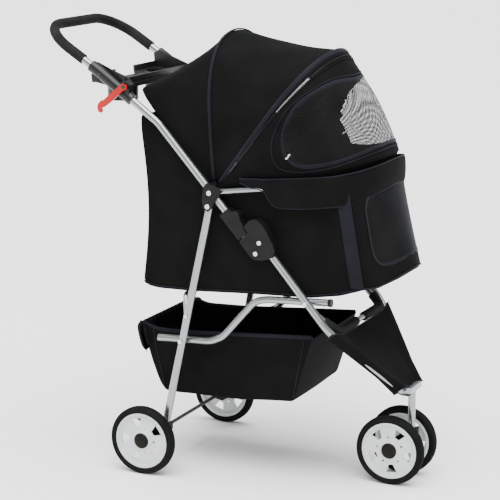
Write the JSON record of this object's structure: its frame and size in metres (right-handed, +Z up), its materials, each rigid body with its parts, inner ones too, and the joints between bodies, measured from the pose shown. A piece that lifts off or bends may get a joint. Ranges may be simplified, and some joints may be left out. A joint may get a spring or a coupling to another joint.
{
  "type": "pet stroller",
  "caption": "Folding three-wheel pet stroller: tube frame, fabric cabin with mesh windows and hood, lower basket, drink tray, swivel front caster and foot brakes.",
  "frame": {"origin": "on the floor under the middle of the stroller's overall length, on its middle plane", "axes": "+X forward, in the direction of travel; +Y to the stroller's left; +Z up"},
  "size_m": [0.8535, 0.4284, 0.962],
  "materials": {
    "silver_tube": "silver powder coat, satin",
    "steel_wire": "black powder-coated steel, satin",
    "zinc": "zinc-plated steel, semi-bright",
    "grip": "closed-cell foam, matt",
    "black_plastic": "moulded nylon, satin",
    "grey_plastic": "grey moulded plastic, satin",
    "red_plastic": "red moulded plastic, semi-gloss",
    "white_plastic": "pale grey moulded plastic, satin",
    "tyre": "black foam rubber, matt",
    "oxford": "black woven polyester, fine weave",
    "mesh": "black mesh and woven polyester"
  },
  "bodies": {
    "upper_frame": {"handle_tube": "silver_tube", "foam_grip": "grip", "side_tube_left": "silver_tube", "side_tube_right": "silver_tube", "drink_tray": "black_plastic", "tray_screws": "zinc", "hub_bracket_left": "silver_tube", "hub_bracket_right": "silver_tube", "hub_rivets": "zinc", "rim_tube": "silver_tube", "rear_bow": "steel_wire", "cabin_sides": "oxford", "cabin_rear": "oxford", "cabin_front": "mesh", "cabin_floor": "oxford", "bumper_band": "oxford", "canopy_rear": "oxford", "canopy_crown": "oxford", "front_screen": "mesh"},
    "front_frame": {"front_tube_left": "silver_tube", "front_tube_right": "silver_tube", "lock_housing_left": "black_plastic", "lock_housing_right": "black_plastic", "front_frame_rivets": "zinc", "crossbar_tube": "silver_tube", "crossbar_sleeves": "black_plastic", "caster_bracket": "zinc", "bib_panel": "oxford"},
    "rear_legs": {"rear_leg_left": "silver_tube", "rear_leg_right": "silver_tube", "rear_axle": "zinc", "leg_cross_tube": "silver_tube", "basket_wire": "silver_tube", "axle_housings": "black_plastic", "leg_rivets": "zinc"},
    "brace_links": {"brace_link_left": "silver_tube", "brace_link_right": "silver_tube", "link_caps": "black_plastic", "basket": "oxford"},
    "front_caster": {"caster_stem": "zinc", "caster_fork": "black_plastic", "front_axle": "zinc"},
    "brake_left": {"brake_pedal_left": "red_plastic"},
    "brake_right": {"brake_pedal_right": "red_plastic"},
    "slider_left": {"lock_slider_left": "black_plastic"},
    "slider_right": {"lock_slider_right": "black_plastic"},
    "hook": {"storage_hook": "red_plastic"},
    "canopy_bow": {"front_bow": "steel_wire"},
    "front_wheel_left": {"front_tyre_left": "tyre", "front_rim_left": "white_plastic", "front_cap_left": "grey_plastic"},
    "front_wheel_right": {"front_tyre_right": "tyre", "front_rim_right": "white_plastic", "front_cap_right": "grey_plastic"},
    "rear_wheel_left": {"rear_tyre_left": "tyre", "rear_rim_left": "white_plastic", "rear_cap_left": "grey_plastic"},
    "rear_wheel_right": {"rear_tyre_right": "tyre", "rear_rim_right": "white_plastic", "rear_cap_right": "grey_plastic"}
  },
  "joints": [
    {"name": "frame_fold", "type": "hinge", "parent": "upper_frame", "child": "front_frame", "pos_m": [0.09475, 0, 0.5015], "axis": [0, 1, 0], "range_deg": [0, 140], "deforming": ["cabin_sides", "cabin_rear", "cabin_front", "cabin_floor", "basket"]},
    {"name": "leg_pivot", "type": "hinge", "parent": "upper_frame", "child": "rear_legs", "pos_m": [-0.01575, 0, 0.592], "axis": [0, 1, 0], "range_deg": [0, 93.8]},
    {"name": "link_pivot", "type": "hinge", "parent": "front_frame", "child": "brace_links", "pos_m": [0.20425, 0, 0.404], "axis": [0, -1, 0], "range_deg": [0, 87.7]},
    {"name": "caster_swivel", "type": "hinge", "parent": "front_frame", "child": "front_caster", "pos_m": [0.38425, 0, 0.16], "axis": [0, 0, 1], "continuous": true},
    {"name": "front_spin_left", "type": "hinge", "parent": "front_caster", "child": "front_wheel_left", "pos_m": [0.35175, 0.0395, 0.075], "axis": [0, 1, 0], "continuous": true},
    {"name": "rear_spin_left", "type": "hinge", "parent": "rear_legs", "child": "rear_wheel_left", "pos_m": [-0.15675, 0.2, 0.075], "axis": [0, 1, 0], "continuous": true},
    {"name": "brake_press_left", "type": "hinge", "parent": "rear_legs", "child": "brake_left", "pos_m": [-0.14475, 0.16, 0.098], "axis": [0, -1, 0], "range_deg": [0, 20]},
    {"name": "lock_slide_left", "type": "slide", "parent": "upper_frame", "child": "slider_left", "axis": [-0.6654, 0, 0.7465], "range_m": [0, 0.014], "stiffness_N_per_m": 250, "springref_m": -0.02},
    {"name": "front_spin_right", "type": "hinge", "parent": "front_caster", "child": "front_wheel_right", "pos_m": [0.35175, -0.0395, 0.075], "axis": [0, 1, 0], "continuous": true},
    {"name": "rear_spin_right", "type": "hinge", "parent": "rear_legs", "child": "rear_wheel_right", "pos_m": [-0.15675, -0.2, 0.075], "axis": [0, 1, 0], "continuous": true},
    {"name": "brake_press_right", "type": "hinge", "parent": "rear_legs", "child": "brake_right", "pos_m": [-0.14475, -0.16, 0.098], "axis": [0, -1, 0], "range_deg": [0, 20]},
    {"name": "lock_slide_right", "type": "slide", "parent": "upper_frame", "child": "slider_right", "axis": [-0.6654, 0, 0.7465], "range_m": [0, 0.014], "stiffness_N_per_m": 250, "springref_m": -0.02},
    {"name": "hook_swing", "type": "hinge", "parent": "upper_frame", "child": "hook", "pos_m": [-0.20675, -0.167, 0.834], "axis": [0, 1, 0], "range_deg": [-30, 60]},
    {"name": "canopy_fold", "type": "hinge", "parent": "upper_frame", "child": "canopy_bow", "pos_m": [-0.01175, 0, 0.621], "axis": [0, -1, 0], "range_deg": [0, 30], "deforming": ["canopy_crown", "front_screen"]}
  ],
  "couplings": [
    {"joint": "leg_pivot", "follows": "frame_fold", "ratio": 0.66773},
    {"joint": "link_pivot", "follows": "frame_fold", "ratio": 0.62405}
  ]
}
